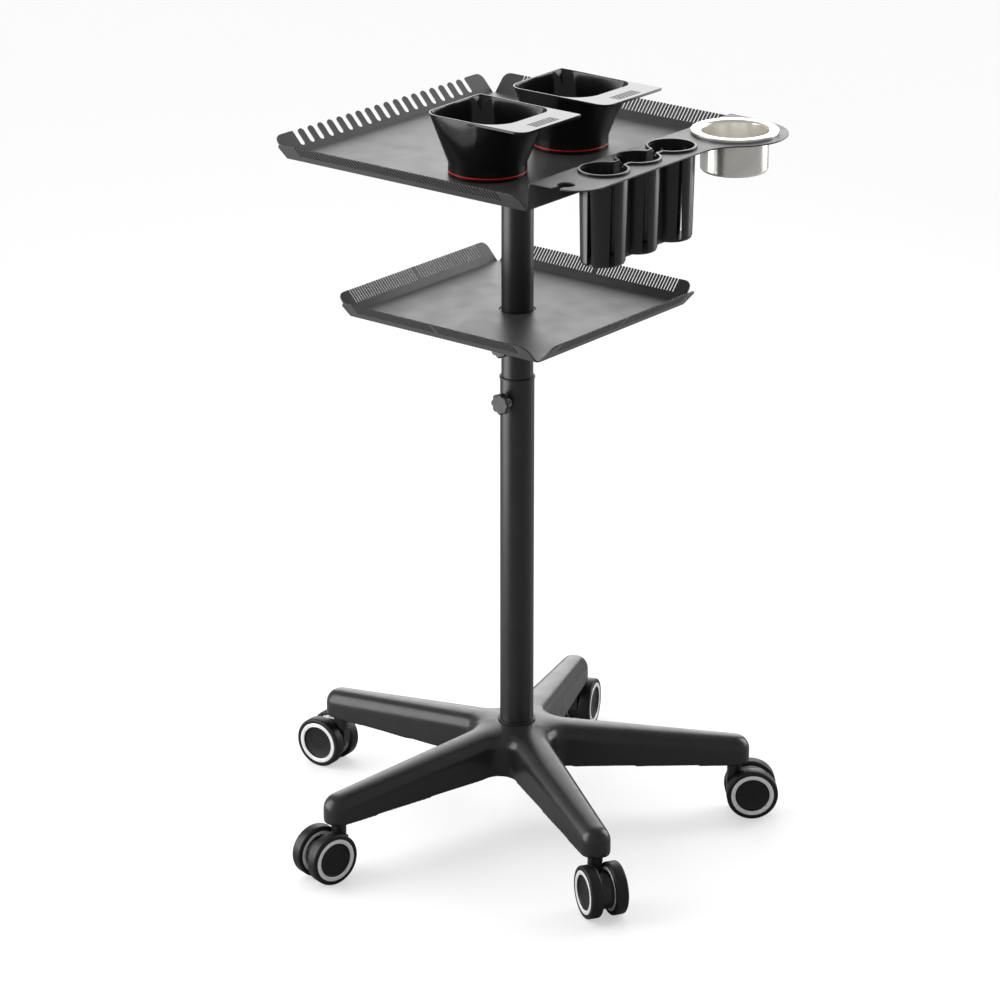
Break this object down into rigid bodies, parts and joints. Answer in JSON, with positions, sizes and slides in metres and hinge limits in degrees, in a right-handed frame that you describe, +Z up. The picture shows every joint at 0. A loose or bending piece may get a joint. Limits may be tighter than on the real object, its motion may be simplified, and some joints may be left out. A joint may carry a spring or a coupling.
{
  "type": "trolley cart",
  "caption": "Castored stand with a telescopic column, two comb-rimmed trays, a side shelf with a slotted cup holder and a steel bowl, and two spouted tint bowls.",
  "frame": {"origin": "middle of the whole trolley's footprint on the floor", "axes": "+Z up, +X towards the accessory shelf, -Y towards the clamp knobs"},
  "size_m": [0.5732, 0.5884, 0.8712],
  "materials": {
    "base_nylon": "satin black, fine-textured glass-filled nylon",
    "tube_coat": "satin black powder coat",
    "tray_coat": "matt black powder coat with a fine grain",
    "black_plastic": "matt",
    "castor_plastic": "satin moulded nylon",
    "knob_plastic": "satin moulded",
    "holder_plastic": "semi-gloss moulded",
    "castor_wheel": "satin black tread and core",
    "castor_trim": "bright silver trim",
    "bright_steel": "zinc-plated",
    "soft_pad": "matt",
    "bowl_steel": "polished stainless",
    "tint_bowl_plastic": "high gloss",
    "red_band": "gloss"
  },
  "bodies": {
    "base": {"base_star": "base_nylon", "castor_sockets": "black_plastic", "castor_stems": "bright_steel", "column_foot_bolt": "bright_steel", "column_foot_ring": "black_plastic", "lower_column_tube": "tube_coat", "column_top_ring": "black_plastic", "column_clamp_insert": "bright_steel"},
    "column_clamp": {"column_clamp_knob": "knob_plastic", "column_clamp_screw": "bright_steel", "column_clamp_pad": "soft_pad"},
    "mast_guide": {"mast_guide": "black_plastic"},
    "mast": {"upper_column_tube": "tube_coat", "upper_tray_socket": "tube_coat", "upper_tray": "tray_coat"},
    "lower_tray": {"lower_tray": "tray_coat", "lower_tray_sleeve": "tube_coat", "lower_tray_liner": "black_plastic", "tray_clamp_insert": "bright_steel"},
    "tray_clamp": {"tray_clamp_knob": "knob_plastic", "tray_clamp_screw": "bright_steel", "tray_clamp_pad": "soft_pad"},
    "brush_holder": {"brush_holder": "holder_plastic"},
    "steel_bowl": {"steel_bowl": "bowl_steel"},
    "tint_bowl_1": {"tint_bowl_1": "tint_bowl_plastic", "tint_bowl_1_band": "red_band"},
    "tint_bowl_2": {"tint_bowl_2": "tint_bowl_plastic", "tint_bowl_2_band": "red_band"},
    "castor_1_swivel": {"castor_1_hood": "castor_plastic", "castor_1_axle": "bright_steel"},
    "castor_1_wheel_left": {"castor_1_wheel_left": "castor_wheel", "castor_1_rim_left": "castor_trim"},
    "castor_1_wheel_right": {"castor_1_wheel_right": "castor_wheel", "castor_1_rim_right": "castor_trim"},
    "castor_2_swivel": {"castor_2_hood": "castor_plastic", "castor_2_axle": "bright_steel"},
    "castor_2_wheel_left": {"castor_2_wheel_left": "castor_wheel", "castor_2_rim_left": "castor_trim"},
    "castor_2_wheel_right": {"castor_2_wheel_right": "castor_wheel", "castor_2_rim_right": "castor_trim"},
    "castor_3_swivel": {"castor_3_hood": "castor_plastic", "castor_3_axle": "bright_steel"},
    "castor_3_wheel_left": {"castor_3_wheel_left": "castor_wheel", "castor_3_rim_left": "castor_trim"},
    "castor_3_wheel_right": {"castor_3_wheel_right": "castor_wheel", "castor_3_rim_right": "castor_trim"},
    "castor_4_swivel": {"castor_4_hood": "castor_plastic", "castor_4_axle": "bright_steel"},
    "castor_4_wheel_left": {"castor_4_wheel_left": "castor_wheel", "castor_4_rim_left": "castor_trim"},
    "castor_4_wheel_right": {"castor_4_wheel_right": "castor_wheel", "castor_4_rim_right": "castor_trim"},
    "castor_5_swivel": {"castor_5_hood": "castor_plastic", "castor_5_axle": "bright_steel"},
    "castor_5_wheel_left": {"castor_5_wheel_left": "castor_wheel", "castor_5_rim_left": "castor_trim"},
    "castor_5_wheel_right": {"castor_5_wheel_right": "castor_wheel", "castor_5_rim_right": "castor_trim"}
  },
  "joints": [
    {"name": "column_height", "type": "slide", "parent": "base", "child": "mast_guide", "axis": [0, 0, 1], "range_m": [-0.015, 0.2]},
    {"name": "mast_turn", "type": "hinge", "parent": "mast_guide", "child": "mast", "pos_m": [0.01796, 0.00551, 0.21], "axis": [0, 0, 1], "range_deg": [-180, 180]},
    {"name": "lower_tray_height", "type": "slide", "parent": "mast", "child": "lower_tray", "axis": [0, 0, 1], "range_m": [-0.012, 0.085]},
    {"name": "column_clamp_turn", "type": "hinge", "parent": "base", "child": "column_clamp", "pos_m": [0.01796, -0.02178, 0.5155], "axis": [0, -1, 0], "range_deg": [0, 90]},
    {"name": "tray_clamp_turn", "type": "hinge", "parent": "lower_tray", "child": "tray_clamp", "pos_m": [0.01796, -0.02398, 0.5828], "axis": [0, -1, 0], "range_deg": [0, 90]},
    {"name": "brush_holder_lift", "type": "slide", "parent": "mast", "child": "brush_holder", "axis": [0, 0, 1], "range_m": [0, 0.16]},
    {"name": "steel_bowl_lift", "type": "slide", "parent": "mast", "child": "steel_bowl", "axis": [0, 0, 1], "range_m": [0, 0.08]},
    {"name": "tint_bowl_1_lift", "type": "slide", "parent": "mast", "child": "tint_bowl_1", "axis": [0, 0, 1], "range_m": [0, 0.12]},
    {"name": "tint_bowl_2_lift", "type": "slide", "parent": "mast", "child": "tint_bowl_2", "axis": [0, 0, 1], "range_m": [0, 0.12]},
    {"name": "castor_1_swivel", "type": "hinge", "parent": "base", "child": "castor_1_swivel", "pos_m": [0.23383, -0.12833, 0.03], "axis": [0, 0, 1], "continuous": true},
    {"name": "castor_1_wheel_left_spin", "type": "hinge", "parent": "castor_1_swivel", "child": "castor_1_wheel_left", "pos_m": [0.25083, -0.13887, 0.03], "axis": [0.527, 0.8499, 0], "continuous": true},
    {"name": "castor_1_wheel_right_spin", "type": "hinge", "parent": "castor_1_swivel", "child": "castor_1_wheel_right", "pos_m": [0.25083, -0.13887, 0.03], "axis": [0.527, 0.8499, 0], "continuous": true},
    {"name": "castor_2_swivel", "type": "hinge", "parent": "base", "child": "castor_2_swivel", "pos_m": [0.21196, 0.16946, 0.03], "axis": [0, 0, 1], "continuous": true},
    {"name": "castor_2_wheel_left_spin", "type": "hinge", "parent": "castor_2_swivel", "child": "castor_2_wheel_left", "pos_m": [0.22724, 0.18237, 0.03], "axis": [-0.6455, 0.7638, 0], "continuous": true},
    {"name": "castor_2_wheel_right_spin", "type": "hinge", "parent": "castor_2_swivel", "child": "castor_2_wheel_right", "pos_m": [0.22724, 0.18237, 0.03], "axis": [-0.6455, 0.7638, 0], "continuous": true},
    {"name": "castor_3_swivel", "type": "hinge", "parent": "base", "child": "castor_3_swivel", "pos_m": [-0.07801, 0.24069, 0.03], "axis": [0, 0, 1], "continuous": true},
    {"name": "castor_3_wheel_left_spin", "type": "hinge", "parent": "castor_3_swivel", "child": "castor_3_wheel_left", "pos_m": [-0.08557, 0.2592, 0.03], "axis": [-0.9259, -0.3778, 0], "continuous": true},
    {"name": "castor_3_wheel_right_spin", "type": "hinge", "parent": "castor_3_swivel", "child": "castor_3_wheel_right", "pos_m": [-0.08557, 0.2592, 0.03], "axis": [-0.9259, -0.3778, 0], "continuous": true},
    {"name": "castor_4_swivel", "type": "hinge", "parent": "base", "child": "castor_4_swivel", "pos_m": [-0.23536, -0.01309, 0.03], "axis": [0, 0, 1], "continuous": true},
    {"name": "castor_4_wheel_left_spin", "type": "hinge", "parent": "castor_4_swivel", "child": "castor_4_wheel_left", "pos_m": [-0.2553, -0.01455, 0.03], "axis": [0.0732, -0.9973, 0], "continuous": true},
    {"name": "castor_4_wheel_right_spin", "type": "hinge", "parent": "castor_4_swivel", "child": "castor_4_wheel_right", "pos_m": [-0.2553, -0.01455, 0.03], "axis": [0.0732, -0.9973, 0], "continuous": true},
    {"name": "castor_5_swivel", "type": "hinge", "parent": "base", "child": "castor_5_swivel", "pos_m": [-0.04263, -0.24115, 0.03], "axis": [0, 0, 1], "continuous": true},
    {"name": "castor_5_wheel_left_spin", "type": "hinge", "parent": "castor_5_swivel", "child": "castor_5_wheel_left", "pos_m": [-0.0474, -0.26058, 0.03], "axis": [0.9711, -0.2385, 0], "continuous": true},
    {"name": "castor_5_wheel_right_spin", "type": "hinge", "parent": "castor_5_swivel", "child": "castor_5_wheel_right", "pos_m": [-0.0474, -0.26058, 0.03], "axis": [0.9711, -0.2385, 0], "continuous": true}
  ]
}
